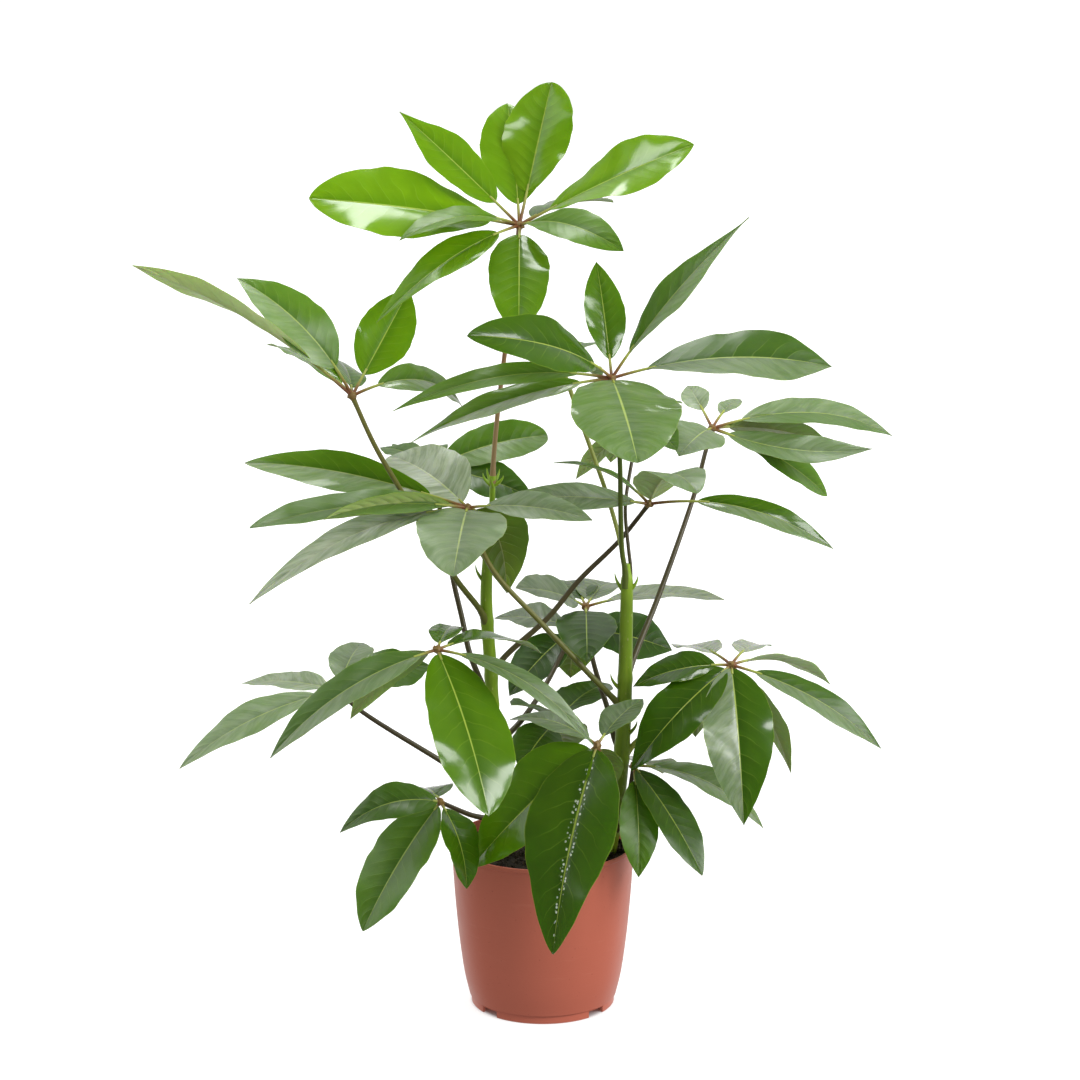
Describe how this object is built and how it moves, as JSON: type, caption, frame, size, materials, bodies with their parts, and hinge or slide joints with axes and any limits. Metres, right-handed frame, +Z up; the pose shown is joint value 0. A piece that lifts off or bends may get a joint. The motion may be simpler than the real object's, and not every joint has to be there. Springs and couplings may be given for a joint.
{
  "type": "potted umbrella plant",
  "caption": "House plant with upright green stems and long-stalked palmate leaves, standing in a round plastic nursery pot.",
  "frame": {"origin": "on the floor, on the axis of the pot, which is the middle of the foliage's spread as well", "axes": "+Z up along the pot's axis, -Y the front that the picture shows, +X to the viewer's right"},
  "size_m": [0.78, 0.5346, 0.9723],
  "materials": {
    "pot_plastic": "satin moulded terracotta-coloured plastic",
    "peat": "loose dark fibrous peat",
    "green_stem": "smooth living green bark",
    "young_leaf": "glossy bright leathery leaf",
    "leaf": "glossy leathery leaf, paler and matt below",
    "old_leaf": "glossy dark leathery leaf, paler and matt below"
  },
  "bodies": {
    "root": {"pot": "pot_plastic", "soil": "peat", "stem_a": "green_stem", "stem_b": "green_stem", "leaf_top": "young_leaf", "leaf_left_high": "leaf", "leaf_left_mid_front": "leaf", "leaf_left_back": "leaf", "leaf_left_low_front": "leaf", "leaf_left_far": "leaf", "leaf_left_lowest": "old_leaf", "leaf_front_low": "old_leaf", "leaf_centre_low": "old_leaf", "leaf_middle": "leaf", "leaf_middle_back": "leaf", "leaf_right_high": "leaf", "leaf_centre_high_back": "leaf", "leaf_right_high_back": "leaf", "leaf_right_mid": "leaf", "leaf_right_back": "leaf", "leaf_right_low": "old_leaf", "leaf_right_lowest": "old_leaf"}
  },
  "joints": []
}
